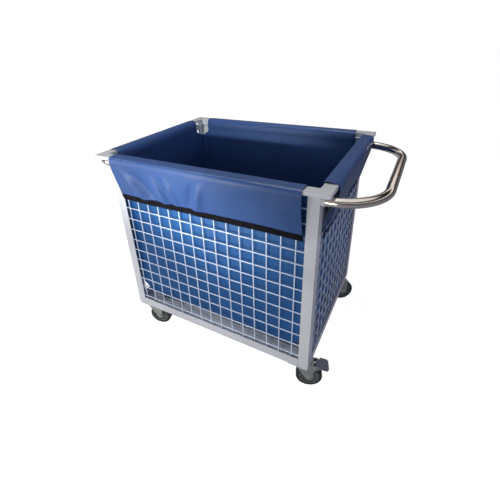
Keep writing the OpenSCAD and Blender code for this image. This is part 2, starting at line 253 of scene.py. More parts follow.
def ribs(tree, pitch, axis):
    """Even ribs across one axis, pitch metres apart."""
    settings = {"wave_type": "BANDS", "bands_direction": axis, "wave_profile": "SIN"}
    inputs = {"Vector": own_coordinates(tree), "Scale": WAVE_TURN / pitch, "Distortion": 0.0}
    return add_node(tree, "TexWave", settings, inputs).outputs["Fac"]


def calculate(tree, operation, a, b):
    return add_node(tree, "Math", {"operation": operation}, {0: a, 1: b}).outputs[0]


def spread(tree, value, low, high):
    """Maps 0..1 to low..high."""
    inputs = {"Value": value, "To Min": low, "To Max": high}
    return add_node(tree, "MapRange", inputs=inputs).outputs["Result"]


def two_colours(tree, factor, first, second, low=0.35, high=0.65):
    """A colour that goes from first to second as factor goes from low to high."""
    ramp = add_node(tree, "ValToRGB", inputs={"Fac": factor})
    ramp.color_ramp.elements[0].position, ramp.color_ramp.elements[1].position = low, high
    ramp.color_ramp.elements[0].color = (*first, 1)
    ramp.color_ramp.elements[1].color = (*second, 1)
    return ramp.outputs["Color"]


def set_bump(tree, shader, height, distance, strength):
    inputs = {"Height": height, "Distance": distance, "Strength": strength}
    bump = add_node(tree, "Bump", inputs=inputs)
    tree.links.new(bump.outputs["Normal"], shader.inputs["Normal"])


def weave(tree, pitch):
    """A plain weave that shows on any side of a box: two of its three sets of ribs always cross."""
    crossed = calculate(tree, "ADD", ribs(tree, pitch, "X"), ribs(tree, pitch, "Y"))
    return calculate(tree, "ADD", crossed, ribs(tree, pitch, "Z"))


def painted(name, first, second, roughness=0.32, peel=500.0, wear=None):
    """Powder coat: faint clouding, orange peel, and scuffs in the wear colour where it is given."""
    material, tree, shader = new_material(name, Specular_IOR_Level=0.5,
                                          Coat_Weight=0.12, Coat_Roughness=0.2)
    colour = two_colours(tree, mottle(tree, PAINT_CLOUDS), first, second)
    if wear:
        scuffs = spread(tree, mottle(tree, PAINT_SCUFFS, 4.0, 0.7), -2.2, 3.2)
        mixed = add_node(tree, "Mix", {"data_type": "RGBA"},
                         {"Factor": scuffs, 6: colour, 7: (*wear, 1)})
        colour = mixed.outputs[2]
    tree.links.new(colour, shader.inputs["Base Color"])
    rough = spread(tree, mottle(tree, PAINT_POLISH), roughness - 0.06, roughness + 0.08)
    tree.links.new(rough, shader.inputs["Roughness"])
    set_bump(tree, shader, mottle(tree, peel, 2.0), PEEL_DEPTH, 0.35)
    return material


def coated_cloth(name, first, second):
    """Coated polyester: clouded colour, a fine weave and small creases in the coating."""
    material, tree, shader = new_material(name, Specular_IOR_Level=0.38)
    specks = spread(tree, mottle(tree, CLOTH_SPECKS), -0.12, 0.12)
    clouds = calculate(tree, "ADD", mottle(tree, CLOTH_CLOUDS, 4.0), specks)
    tree.links.new(two_colours(tree, clouds, first, second, 0.3, 0.72), shader.inputs["Base Color"])
    rough = spread(tree, mottle(tree, CLOTH_POLISH, 4.0), CLOTH_ROUGHNESS - 0.08, CLOTH_ROUGHNESS + 0.1)
    tree.links.new(rough, shader.inputs["Roughness"])
    threads = calculate(tree, "MULTIPLY", weave(tree, CLOTH_WEAVE), THREAD_SHARE)
    creases = calculate(tree, "MULTIPLY", mottle(tree, CLOTH_CREASES, 5.0, 0.6), CREASE_SHARE)
    set_bump(tree, shader, calculate(tree, "ADD", threads, creases), CLOTH_DEPTH, 0.5)
    return material


def woven_tape(name, colour, light):
    """Binding tape: close ribs and a dusty, slightly worn black."""
    material, tree, shader = new_material(name, Specular_IOR_Level=0.06)
    dusty = two_colours(tree, mottle(tree, TAPE_DUST, 4.0), colour, light)
    tree.links.new(dusty, shader.inputs["Base Color"])
    tree.links.new(spread(tree, mottle(tree, TAPE_POLISH), 0.6, 0.8), shader.inputs["Roughness"])
    set_bump(tree, shader, weave(tree, TAPE_WEAVE), TAPE_DEPTH, 0.6)
    return material


def metal(name, first, second, roughness, scratch, anisotropic=0.0):
    """Bare or plated metal with fine scratches and uneven polish."""
    material, tree, shader = new_material(name, Metallic=1.0, Anisotropic=anisotropic)
    toned = two_colours(tree, mottle(tree, METAL_TONES, 4.0), first, second)
    tree.links.new(toned, shader.inputs["Base Color"])
    rough = spread(tree, mottle(tree, METAL_POLISH, 5.0, 0.7), roughness * 0.6, roughness * 1.5)
    tree.links.new(rough, shader.inputs["Roughness"])
    set_bump(tree, shader, mottle(tree, scratch, 4.0, 0.7), SCRATCH_DEPTH, 0.3)
    return material


def moulded(name, first, second, roughness, grain):
    """Moulded plastic or rubber with a fine grain and a little dust."""
    material, tree, shader = new_material(name, Specular_IOR_Level=0.4)
    dusty = two_colours(tree, mottle(tree, MOULDED_DUST, 4.0), first, second)
    tree.links.new(dusty, shader.inputs["Base Color"])
    rough = spread(tree, mottle(tree, MOULDED_POLISH), roughness - 0.08, roughness + 0.1)
    tree.links.new(rough, shader.inputs["Roughness"])
    set_bump(tree, shader, mottle(tree, grain, 3.0), GRAIN_DEPTH, 0.4)
    return material


def make_paints():
    white, off_white, bare = (0.66, 0.675, 0.69), (0.60, 0.615, 0.63), (0.36, 0.36, 0.36)
    return {
        "frame_paint": painted("frame_paint", white, off_white),
        "frame_edge": painted("frame_paint_edge", white, off_white,
                              roughness=0.4, peel=700.0, wear=bare),
        # The wires carry the frame's white made lighter and bluer: painted bluish light on the same white
        # paint.
        "wire_paint": painted("wire_paint", (0.74, 0.81, 0.92), (0.67, 0.73, 0.84), roughness=0.3),
        # The base plate carries the frame's white made lighter: painted light on a plate that lies in the
        # bag's shade.
        "base_paint": painted("base_paint", (0.84, 0.86, 0.88), (0.76, 0.78, 0.80),
                              roughness=0.45, peel=400.0),
        "pedal_paint": painted("pedal_paint", (0.17, 0.18, 0.21), (0.22, 0.23, 0.26), roughness=0.4),
        "weld": painted("weld", white, off_white, roughness=0.3, peel=260.0),
    }


def make_cloths():
    return {
        # The inside face is the same cloth made darker and greyer: partly painted shade for the dark
        # inside of the bag.
        "cloth_inside_with_painted_shade": coated_cloth("cloth_inside_with_painted_shade", (0.022, 0.066, 0.205), (0.030, 0.079, 0.232)),
        "cloth_outside": coated_cloth("cloth_outside", (0.007, 0.082, 0.255), (0.012, 0.100, 0.290)),
        "binding": woven_tape("binding", (0.004, 0.004, 0.006), (0.009, 0.008, 0.011)),
        "thread": woven_tape("thread", (0.02, 0.02, 0.026), (0.035, 0.035, 0.042)),
    }


def make_metals():
    return {
        "handle_steel": metal("handle_steel", (0.76, 0.71, 0.66), (0.66, 0.61, 0.56),
                              roughness=0.11, scratch=900.0, anisotropic=0.3),
        "castor_zinc": metal("castor_zinc", (0.58, 0.61, 0.58), (0.44, 0.47, 0.45),
                             roughness=0.42, scratch=300.0),
        "bolt_zinc": metal("bolt_zinc", (0.62, 0.63, 0.62), (0.48, 0.49, 0.48),
                           roughness=0.28, scratch=500.0),
    }


def make_mouldings():
    return {
        "wheel_centre_plastic": moulded("wheel_centre_plastic", (0.16, 0.18, 0.17), (0.12, 0.13, 0.13),
                                        roughness=0.45, grain=300.0),
        "tyre_rubber": moulded("tyre_rubber", (0.018, 0.021, 0.020), (0.035, 0.038, 0.036),
                               roughness=0.6, grain=500.0),
    }


def make_materials():
    return make_paints() | make_cloths() | make_metals() | make_mouldings()


# ---------------------------------------------------------------- the CAD nodes

FINISHES = {
    "corner_post": "frame_paint", "base_rail": "frame_paint", "castor_bearer": "frame_paint",
    "rim_rail": "frame_paint", "rim_corner": "frame_paint", "handle_sockets": "frame_paint",
    "base_plate": "base_paint", "mesh": "wire_paint", "handle": "handle_steel",
    "castor_top_plates": "castor_zinc", "castor_fork": "castor_zinc", "castor_bolts": "bolt_zinc",
    "axle_bolt": "bolt_zinc", "wheel_centre": "wheel_centre_plastic", "tyre": "tyre_rubber",
    "brake_pedal": "pedal_paint",
}
EDGE_RADIUS = {                           # in mm
    "corner_post": 1.1, "rim_corner": 1.6, "rim_rail": 1.4, "base_rail": 1.0, "base_plate": 0.6,
    "castor_bearer": 0.8, "castor_top_plates": 0.7, "castor_fork": 0.6, "castor_bolts": 0.5,
    "axle_bolt": 0.6, "wheel_centre": 0.8, "brake_pedal": 1.2, "handle_sockets": 1.0,
}
SHARP_EDGE = math.radians(40)
SAME_POINT = 0.01 * MM


def longest_match(name, table):
    found = [key for key in table if name.startswith(key)]
    return table[max(found, key=len)] if found else None


def round_edges(node, radius, edge_slot):
    add_modifier(node, "WELD", merge_threshold=SAME_POINT)
    add_modifier(node, "BEVEL", width=radius * MM, segments=2, limit_method="ANGLE",
                 angle_limit=SHARP_EDGE, material=edge_slot)
    add_modifier(node, "WEIGHTED_NORMAL", keep_sharp=False)


def dress_cad_node(name, node, materials):
    """Gives a node its finish and rounded edges; painted frame parts have worn edges."""
    finish = longest_match(name, FINISHES)
    if finish is None:
        return
    for slot in node.material_slots:
        slot.link = "OBJECT"
        slot.material = materials[finish]
    radius = longest_match(name, EDGE_RADIUS)
    if radius:
        edge_slot = -1
        if finish == "frame_paint":
            node.data.materials.append(materials["frame_edge"])
            edge_slot = len(node.material_slots) - 1
        round_edges(node, radius, edge_slot)


# ---------------------------------------------------------------- the bag

BAG_COLUMNS, BAG_CORNER = 26, 6
BAG_WALL_ROWS, BAG_TOP_ROWS, BAG_FLOOR_RINGS = 34, 7, 7
BAG_CLEAR = 1.2 * MM                      # the cloth stays this far inside its CAD solid
BAG_BOTTOM = LINER_LOW.z + 2.5 * MM
BELLY_HEIGHT, BELLY_INSET = 0.15, 0.058   # the walls curve inwards above the floor
BELLY_POWER = 2.2
BAG_ROW_POWER, BAG_RING_POWER = 1.35, 0.8   # rows crowd towards the floor's edge
CORNER_TOP, CORNER_BOTTOM, CORNER_HEIGHT = 0.007, 0.085, 0.24
CORNER_CALM = 0.022                       # the slack dies away over this length before a corner
SLACK_FADE = 0.16                         # and over this height below the rim
SLACK, FOLD_DEPTH, RIPPLE_DEPTH = 2.5 * MM, 6.5 * MM, 1.5 * MM
FOLD_WIDTH, RIPPLE_WIDTH, FOLD_STRETCH = 0.13, 0.05, 0.35
FLOOR_DROP, FLOOR_SWELL, FLOOR_SWELL_WIDTH, FLOOR_SWELL_FADE = 1.2 * MM, 3.0 * MM, 0.11, 6
FLOOR_SEED, FOLD_SEED, RIPPLE_SEED = 31, 1, 11
SLIT_TAPER = 0.022                        # height over which a wall narrows to its flap above the slits
SEAM_RADIUS, SEAM_STEPS, SEAM_LOW, SEAM_HIGH = 1.3 * MM, 40, 4 * MM, 3 * MM


def bag_inset(z):
    s = min(1.0, (z - BAG_BOTTOM) / BELLY_HEIGHT)
    return BAG_CLEAR + BELLY_INSET * (1 - s) ** BELLY_POWER


def bag_corner_radius(z):
    s = min(1.0, (z - BAG_BOTTOM) / CORNER_HEIGHT)
    return lerp(CORNER_TOP, CORNER_BOTTOM, (1 - s) ** 2)


def bag_slack(side_index, along, z):
    """How far the slack cloth leans inwards: upright folds below, still at the rim."""
    height = smooth((TOP - TUCK - z) / SLACK_FADE)
    folds = 0.5 + 0.5 * wander(along, z * FOLD_STRETCH, side_index + FOLD_SEED, FOLD_WIDTH)
    ripples = 0.5 + 0.5 * wander(along, z, side_index + RIPPLE_SEED, RIPPLE_WIDTH)
    return height * (SLACK + FOLD_DEPTH * folds + RIPPLE_DEPTH * ripples)


def bag_ring(z):
    """One level of the bag, as a list of four sides' points, each followed by its corner's points."""
    inset, radius = bag_inset(z), bag_corner_radius(z)
    ring = []
    for index, side in enumerate(SIDES):
        half, out = side.half - inset - radius, side.wall - inset
        for k in range(BAG_COLUMNS + 1):
            along = lerp(-half, half, k / BAG_COLUMNS)
            near_end = smooth((half - abs(along)) / CORNER_CALM)
            ring.append(side.at(along, out - near_end * bag_slack(index, along, z), z))
        for k in range(1, BAG_CORNER):
            turn = math.pi / 2 * k / BAG_CORNER
            along = half + radius * math.sin(turn)
            ring.append(side.at(along, out - radius + radius * math.cos(turn), z))
    return ring


def bag_floor_ring(outline, share):
    """The bottom ring drawn in towards the middle, with slow swells where the cloth lies loose."""
    ring = []
    for p in outline:
        x, y = lerp(MID_X, p.x, share), lerp(MID_Y, p.y, share)
        swell = FLOOR_SWELL * (0.5 + 0.5 * wander(x, y, FLOOR_SEED, FLOOR_SWELL_WIDTH))
        swell *= smooth((1 - share) * FLOOR_SWELL_FADE)
        ring.append(Vector((x, y, BAG_BOTTOM - FLOOR_DROP + swell)))
    return ring


def bag_panel_row(index, side, z):
    """The part of a wall above the slits: it narrows from the corner to the flap's width."""
    corner, narrowed = side.half - CORNER_TOP, smooth((z - SLIT_DEPTH) / SLIT_TAPER)
    near, far = lerp(-corner, side.near, narrowed), lerp(corner, side.far, narrowed)
    row = []
    for k in range(BAG_COLUMNS + 1):
        along = lerp(near, far, k / BAG_COLUMNS)
        row.append(side.at(along, side.wall - BAG_CLEAR - bag_slack(index, along, z), z))
    return row


def bag_rings():
    """The closed rings of the bag, from the middle of its floor up to the slits."""
    shares = [(i / BAG_WALL_ROWS) ** BAG_ROW_POWER for i in range(BAG_WALL_ROWS + 1)]
    walls = [bag_ring(lerp(BAG_BOTTOM, SLIT_DEPTH, share)) for share in shares]
    shares = [(k / BAG_FLOOR_RINGS) ** BAG_RING_POWER for k in range(1, BAG_FLOOR_RINGS)]
    floor = [bag_floor_ring(walls[0], share) for share in shares]
    return floor + walls


def add_bag_panels(vertices, faces, last):
    """Goes on from the last ring, side by side, up to the rim."""
    for index, side in enumerate(SIDES):
        lower = [last + index * (BAG_COLUMNS + BAG_CORNER) + k for k in range(BAG_COLUMNS + 1)]
        for i in range(1, BAG_TOP_ROWS + 1):
            upper = list(range(len(vertices), len(vertices) + BAG_COLUMNS + 1))
            vertices.extend(bag_panel_row(index, side, lerp(SLIT_DEPTH, TOP - TUCK, i / BAG_TOP_ROWS)))
            for k in range(BAG_COLUMNS):
                faces.append((lower[k], lower[k + 1], upper[k + 1], upper[k]))
            lower = upper


def make_bag(materials):
    columns = 4 * (BAG_COLUMNS + BAG_CORNER)
    rings = bag_rings()
    vertices = [p for ring in rings for p in ring]
    faces = grid_faces(len(rings), columns, closed=True)
    faces.append(tuple(range(columns - 1, -1, -1)))
    add_bag_panels(vertices, faces, (len(rings) - 1) * columns)
    cloths = [materials["cloth_outside"], materials["cloth_inside_with_painted_shade"]]
    bag = add_object("liner_bag", vertices, faces, cloths, slot="liner_cloth")
    add_modifier(bag, "SUBSURF", levels=1, render_levels=1)
    add_modifier(bag, "SOLIDIFY", thickness=CLOTH, offset=-1.0, material_offset=1)
    add_modifier(bag, "WEIGHTED_NORMAL", weight=FACE_WEIGHT, keep_sharp=False)
    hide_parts("liner_floor", *[f"liner_wall_{side.name}" for side in SIDES])
    return bag


def make_bag_seams(materials):
    """A raised seam down each corner of the bag."""
    parts = []
    corner = BAG_COLUMNS + BAG_CORNER // 2
    step = BAG_COLUMNS + BAG_CORNER
    low, high = BAG_BOTTOM + SEAM_LOW, SLIT_DEPTH - SEAM_HIGH
    rings = [bag_ring(lerp(low, high, i / SEAM_STEPS)) for i in range(SEAM_STEPS + 1)]
    for index in range(4):
        path = [ring[index * step + corner] for ring in rings]
        parts.append(sweep(tube_rings(path, SEAM_RADIUS)))
    return add_object("liner_bag_seams", *join(parts), [materials["cloth_outside"]], slot="liner_cloth")


def hang_bag(materials):
    """Makes the bag and the raised seams down its corners."""
    bag = make_bag(materials)
    seams = make_bag_seams(materials)


# ---------------------------------------------------------------- the flaps

FLAP_COLUMNS, FLAP_ROWS = 90, 30
FLAP_SEEDS = {"puff": 41, "sway": 51, "hem": 61}
RIM_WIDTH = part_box("rim_rail_front")[1].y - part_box("rim_rail_front")[0].y
RIM_CLEAR, RIM_PROUD = 2.0 * MM, 4.0 * MM
INNER_ROLL, OUTER_ROLL = 14 * MM, (9 * MM, 5 * MM)   # how far the roll is drawn past the rim's corners
ROLL_STEPS = 12
RIM_MIDDLE = 0.45                         # where the roll levels out, as a share of the rim's width
HANG_TOP = TOP - 24 * MM                  # below this the cloth hangs free
PUFF = {"front": 0.4 * MM, "right": 1.6 * MM, "back": 0.6 * MM, "left": 1.2 * MM}
PUFF_LENGTH, SWAY_LENGTH, HEM_LENGTH = 0.35, 0.22, 0.4   # of one swell, as shares of half a flap
HEM_OUT = 3.4 * MM                        # from the posts' faces to the middle of the cloth at the hem
HEM_PLAY = 1.0 * MM                       # how much nearer to the posts the cloth may come
BILLOW, SWAY, SWAY_STRETCH = 2.0 * MM, 2.2 * MM, 0.4
HEM_DROP, HEM_WAVE = 1.5 * MM, 1.2 * MM
DRAW_IN = 0.005
CREASE_START, CREASE_END, CREASE_LOSS = 2.4, 0.62, 0.85

# Soft creases of each flap: where each starts at the rim and ends at the hem, from -1 to 1 along the
# flap, how high it stands in mm, and how wide it is as a share of the flap.
CREASES = {
    "front": [(-0.86, -0.62, 17.0, 0.055), (-0.72, -0.50, -11.0, 0.06), (-0.50, -0.37, 11.0, 0.035),
              (-0.40, -0.31, -7.0, 0.03), (-0.33, -0.24, 10.0, 0.035), (0.09, -0.05, 11.0, 0.05),
              (0.00, -0.14, -8.0, 0.05), (0.55, 0.42, -3.5, 0.12), (0.78, 0.92, 5.0, 0.09)],
    "right": [(-0.75, -0.60, 2.5, 0.22), (0.05, 0.20, -3.0, 0.20), (0.60, 0.72, 5.0, 0.16)],
    "back": [(-0.85, -0.66, 5.0, 0.06), (-0.20, -0.05, 3.5, 0.08), (0.45, 0.30, 4.5, 0.05),
             (0.80, 0.90, -4.0, 0.08)],
    "left": [(-0.60, -0.40, 5.0, 0.08), (0.15, 0.05, -3.5, 0.09), (0.70, 0.85, 5.0, 0.09)],
}


def bend(start, corner, end, steps):
    """A smooth turn from start to end, drawn towards the corner."""
    turn = []
    for k in range(steps + 1):
        t = k / steps
        turn.append(start * (1 - t) ** 2 + corner * 2 * t * (1 - t) + end * t ** 2)
    return turn


def over_rim(side, share):
    """The cloth's line (out, up) from inside the bag, softly over the rim and past its outer face."""
    puff = PUFF[side.name] * (0.6 + 0.4 * wander(share, 0, FLAP_SEEDS["puff"] + side.seed, PUFF_LENGTH))
    inner = side.wall - BAG_CLEAR - CLOTH / 2 - LAP_STEP
    middle = side.rim - RIM_WIDTH * RIM_MIDDLE
    rise = bend(Vector((inner, TOP - TUCK)), Vector((inner, TOP + INNER_ROLL + puff)),
                Vector((middle, TOP + RIM_CLEAR + puff)), ROLL_STEPS)
    fall = bend(Vector((middle, TOP + RIM_CLEAR + puff)),
                Vector((side.rim + OUTER_ROLL[0], TOP + OUTER_ROLL[1] + puff)),
                Vector((side.rim + RIM_PROUD, HANG_TOP)), ROLL_STEPS)
    return [Vector((inner, TOP - TUCK - LAP))] + rise + fall[1:]


def crease_height(side, share, down):
    """The creases widen as they fall, and die away towards the hem."""
    fade = smooth(down * CREASE_START), 1 - CREASE_LOSS * smooth((down - CREASE_END) / (1 - CREASE_END))
    total = 0.0
    for start, end, height, width in CREASES[side.name]:
        offset = (share - lerp(start, end, down)) / (width * (0.55 + 0.6 * down))
        total += height * MM * math.exp(-offset * offset) * fade[0] * fade[1]
    return total


def hang(side, share, down):
    """Where the hanging cloth is (out, up): down goes from 0 under the rim to 1 at the hem."""
    top_out, hem_out = side.rim + RIM_PROUD, side.post + HEM_OUT
    out = lerp(top_out, hem_out, down ** 1.08) + BILLOW * math.sin(math.pi * down)
    out += crease_height(side, share, down)
    sway = wander(share, down * SWAY_STRETCH, FLAP_SEEDS["sway"] + side.seed, SWAY_LENGTH)
    out += SWAY * sway * smooth(down * 2)
    wave = wander(share, 0, FLAP_SEEDS["hem"] + side.seed, HEM_LENGTH)
    lowest = HEM_LOW.z - HEM_DROP + HEM_WAVE * wave
    return max(out, hem_out - HEM_PLAY), lerp(HANG_TOP, lowest, down)


def draw_in(down):
    """The flap's ends lean inwards a little as they fall."""
    return 1 - DRAW_IN * math.sin(math.pi * min(1.0, down * 0.9))


def flap_point(side, share, down):
    out, up = hang(side, share, down)
    return side.at(side.across(share) * draw_in(down), out, up)


def make_flap(side, materials):
    rows = []
    shares = [lerp(-1, 1, k / FLAP_COLUMNS) for k in range(FLAP_COLUMNS + 1)]
    top = [over_rim(side, share) for share in shares]
    for i in range(len(top[0])):
        rows.append([side.at(side.across(share), *line[i]) for share, line in zip(shares, top)])
    for i in range(1, FLAP_ROWS + 1):
        rows.append([flap_point(side, share, i / FLAP_ROWS) for share in shares])
    vertices = [p for row in rows for p in row]
    faces = [f[::-1] for f in grid_faces(len(rows), len(shares))]
    flap = add_object(f"cloth_flap_{side.name}", vertices, faces,
                      [materials["cloth_inside_with_painted_shade"], materials["cloth_outside"]], slot="flap_cloth")
    add_modifier(flap, "SOLIDIFY", thickness=CLOTH, offset=0.0, material_offset=1)
    add_modifier(flap, "WEIGHTED_NORMAL", weight=FACE_WEIGHT, keep_sharp=False)
    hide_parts(f"flap_{side.name}")
    return flap


def hang_length():
    return HANG_TOP - HEM_LOW.z


# The section of the binding: mm out from the cloth, and share of its height up from the hem.
BINDING_SECTION = [(-1.9, 1.0), (1.9, 1.0), (2.1, 0.6), (2.1, 0.15),
                   (1.4, 0.0), (-1.4, 0.0), (-2.1, 0.15), (-2.1, 0.6)]
BINDING_OVER = 1.002                      # the tape reaches just past the flap's ends
STITCH_PITCH, STITCH_RADIUS, STITCH_LIFT = 5 * MM, 0.5 * MM, 2.2 * MM
STITCH_LEVEL, STITCH_SIDES = 0.82, 6
STITCH_REACH = 0.62                       # half a stitch, as a share of half the pitch


def make_binding(side, materials):
    """Tape folded round the flap's lower edge."""
    rings = []
    for k in range(FLAP_COLUMNS + 1):
        share = lerp(-BINDING_OVER, BINDING_OVER, k / FLAP_COLUMNS)
        ring = []
        for thick, high in BINDING_SECTION:
            down = 1 - high * BINDING_HIGH / hang_length()
            ring.append(flap_point(side, share, down) + side.out * thick * MM)
        rings.append(ring)
    binding = add_object(f"binding_{side.name}", *sweep(rings), [materials["binding"]], slot="binding")
    add_modifier(binding, "BEVEL", width=0.5 * MM, segments=2, limit_method="ANGLE")
    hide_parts(f"flap_hem_{side.name}")
    return binding


def stitch(a, b, out, radius):
    """One stitch, pointed at both ends where it enters the cloth."""
    ahead = (b - a).normalized()
    across = ahead.cross(out).normalized()
    middle = (a + b) / 2
    turns = [2 * math.pi * k / STITCH_SIDES for k in range(STITCH_SIDES)]
    ring = [middle + (across * math.cos(t) + out * math.sin(t)) * radius for t in turns]
    faces = []
    for k in range(STITCH_SIDES):
        here, after = 1 + k, 1 + (k + 1) % STITCH_SIDES
        faces += [(0, after, here), (STITCH_SIDES + 1, here, after)]
    return [a, *ring, b], faces


def make_stitches(side, materials):
    """A row of stitches along the top of the binding."""
    parts = []
    count = int(2 * side.flap_half / STITCH_PITCH)
    down = 1 - STITCH_LEVEL * BINDING_HIGH / hang_length()
    lift = side.out * STITCH_LIFT
    for k in range(1, count):
        share, reach = lerp(-1, 1, k / count), STITCH_REACH / count
        a = flap_point(side, share - reach, down) + lift
        b = flap_point(side, share + reach, down) + lift
        parts.append(stitch(a, b, side.out, STITCH_RADIUS))
    return add_object(f"stitches_{side.name}", *join(parts), [materials["thread"]], slot="binding")


def make_flaps(materials):
    for side in SIDES:
        flap = make_flap(side, materials)
        extras = [make_binding(side, materials), make_stitches(side, materials)]


# ---------------------------------------------------------------- small metal details


def corner_sides():
    return [(sx, sy) for sx in (-1, 1) for sy in (-1, 1)]


BEAD_RADIUS, BEAD_STEP, BEAD_LUMPS = 1.6 * MM, 2.2 * MM, 0.22
BEAD_BELOW = 0.4 * MM                     # the bead's middle, below the rim's underside
BEAD_INSET, BEAD_SUNK, BEAD_SHORT = 3.2 * MM, 0.2 * MM, 2 * MM
SOCKET_BEAD, SOCKET_LUMPS, SOCKET_STEPS = 1.1 * MM, 0.15, 44
# The beads at a socket's foot and mouth: their distance past the face, and what they add to its radius.
SOCKET_FOOT, SOCKET_MOUTH = (0.4 * MM, 0.4 * MM), (0.2 * MM, -0.6 * MM)
# The section of a race cup: (radius, height from the fork's top), in mm.
RACE_CUP = [(25.6, -8.5), (28.8, -8.0), (29.8, -5.5), (29.2, -2.6), (27.4, -0.8), (25.6, -0.6)]
RACE_CUP_STEPS = 40


def weld_line(a, b):
    count = max(4, int((b - a).length / BEAD_STEP))
    path = [a.lerp(b, k / count) for k in range(count + 1)]
    return sweep(tube_rings(path, BEAD_RADIUS, BEAD_LUMPS))


def make_welds(materials):
    """Beads where posts meet the rim and the base rails."""
    parts = []
    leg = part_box("corner_post_front_left")[1].x - POST_LOW.x
    half_x, half_y = POST_HIGH.x - MID_X, POST_HIGH.y - MID_Y
    rail_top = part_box("base_rail_front")[1].z
    under = RIM_UNDER - BEAD_BELOW
    low, high = POST_LOW.z + BEAD_SHORT, rail_top - BEAD_SHORT
    seam = leg - BEAD_SUNK
    lines = [((half_x - leg, half_y, under), (half_x, half_y, under)),
             ((half_x, half_y - leg, under), (half_x, half_y, under)),
             ((half_x - seam, half_y - BEAD_INSET, low), (half_x - seam, half_y - BEAD_INSET, high)),
             ((half_x - BEAD_INSET, half_y - seam, low), (half_x - BEAD_INSET, half_y - seam, high))]
    for sx, sy in corner_sides():
        for line in lines:
            parts.append(weld_line(*[Vector((MID_X + sx * x, MID_Y + sy * y, z)) for x, y, z in line]))
    return add_object("frame_welds", *join(parts), [materials["weld"]], slot="frame_paint")


def upright_ring(centre, radius):
    """A closed circle facing along the frame."""
    turns = [2 * math.pi * k / SOCKET_STEPS for k in range(SOCKET_STEPS + 1)]
    return [centre + Vector((0, math.cos(t), math.sin(t))) * radius for t in turns]


def make_socket_welds(materials):
    """Beads round the foot and the mouth of each handle socket."""
    parts = []
    low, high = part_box("handle_sockets")
    radius = (high.z - low.z) / 2
    height = (low.z + high.z) / 2
    arm_y = high.y - MID_Y - radius
    length = high.x - POST_HIGH.x
    for sx, sy in corner_sides():
        face = MID_X + sx * (POST_HIGH.x - MID_X)
        for start, (away, wider) in ((0, SOCKET_FOOT), (length, SOCKET_MOUTH)):
            centre = Vector((face + sx * (start + away), MID_Y + sy * arm_y, height))
            path = upright_ring(centre, radius + wider)
            parts.append(sweep(tube_rings(path, SOCKET_BEAD, SOCKET_LUMPS)))
    return add_object("handle_socket_welds", *join(parts), [materials["weld"]], slot="frame_paint")


def revolve(profile, centre, steps):
    """A ring of revolution about an upright axis; the profile is a closed list of (radius, height)."""
    vertices, count = [], len(profile)
    for k in range(steps):
        turn = 2 * math.pi * k / steps
        for radius, height in profile:
            vertices.append(centre + Vector((radius * math.cos(turn), radius * math.sin(turn), height)))
    faces = []
    for k in range(steps):
        a, b = k * count, (k + 1) % steps * count
        for j in range(count):
            i = (j + 1) % count
            faces.append((a + j, b + j, b + i, a + i))
    return vertices, faces


def swivel_centre(corner):
    """The swivel axis of a castor, from the crown of its fork."""
    joint = next(j for j in frame["joints"] if j["name"] == f"swivel_{corner}")
    return Vector(joint["pos_m"])


def make_castor_details(corner, materials):
    """The rolled cup over a castor's ball race."""
    axis = swivel_centre(corner)
    fork_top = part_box(f"castor_fork_{corner}")[1].z
    profile = [(radius * MM, height * MM) for radius, height in RACE_CUP]
    ring = revolve(profile, Vector((axis.x, axis.y, fork_top)), RACE_CUP_STEPS)
    cup = add_object(f"race_cup_{corner}", *ring, [materials["castor_zinc"]],
                     f"swivel_{corner}", "castor_zinc")
    add_modifier(cup, "SUBSURF", levels=1, render_levels=1)


# ---------------------------------------------------------------- studio


# Spots: place, target, angle in degrees, radius, watts.
SPOTS = {
    "key": ((-0.35, -1.65, 1.035), (-0.25, 0.31, 0.78), 33, 0.03, 76.0),
    "flap_light": ((-0.5, -1.7, 0.55), (-0.03, -0.33, 0.68), 25, 0.10, 94.0),
    "base_light_left": ((-0.23, -1.15, 1.65), (-0.23, -0.31, 0.13), 27, 0.08, 22.0),
    "base_light_right": ((0.21, -1.15, 1.65), (0.21, -0.31, 0.13), 27, 0.08, 22.0),
}
# Areas: place, target, width and height, watts.
AREAS = {
    "left_fill": ((-1.35, -0.95, 0.75), (-0.2, -0.3, 0.55), (0.5, 0.7), 6.3),
    "front_fill": ((0.0, -2.2, 0.42), (0, 0, 0.42), (1.4, 0.5), 9.5),
    "overhead": ((-0.25, -0.1, 3.4), (0, 0, 0.5), (0.8, 0.8), 36.0),
}
HORIZON, SKY_HIGH = 0.02, 0.48
SKY_DARK, SKY_LEFT, SKY_RIGHT = (0.04, 0.04, 0.05), (0.62, 0.64, 0.70), (1.35, 1.45, 2.05)
PANEL_LOW, PANEL_HIGH, PANEL_TINT = (0.13, 0.12, 0.12), (0.9, 0.9, 0.9), (1.0, 0.92, 0.88)
PANEL_START, PANEL_END = 0.10, 0.80
PANEL_BANDS = [(0.17, 0.03), (0.28, 0.03), (0.35, 1.2), (0.39, 1.2), (0.46, 0.03), (0.68, 0.03)]
FLOOR_SIZE, FLOOR_MOTTLE, FLOOR_SEEN = 30.0, 3.0, 0.94
FLOOR_GLOW = {"From Min": -1.0, "From Max": 0.3, "To Min": 0.32, "To Max": 0.08}


def make_camera():
    angles = CAMERA_AZIMUTH, CAMERA_ELEVATION, CAMERA_ROLL
    azimuth, elevation, roll = [math.radians(angle) for angle in angles]
    back = Vector((math.sin(azimuth) * math.cos(elevation), -math.cos(azimuth) * math.cos(elevation),
                   math.sin(elevation)))
    level = Vector((math.cos(azimuth), math.sin(azimuth), 0))
    right = level * math.cos(roll) + back.cross(level) * math.sin(roll)
    data = bpy.data.cameras.new("camera")
    data.lens, data.sensor_width = CAMERA_LENS, SENSOR_WIDTH
    data.shift_x, data.shift_y = CAMERA_SHIFT
    camera = bpy.data.objects.new("camera", data)
    turned = Matrix((right, back.cross(right), back)).transposed().to_4x4()
    camera.matrix_world = Matrix.Translation(CAMERA_PLACE) @ turned
    bpy.context.scene.collection.objects.link(camera)
    bpy.context.scene.camera = camera


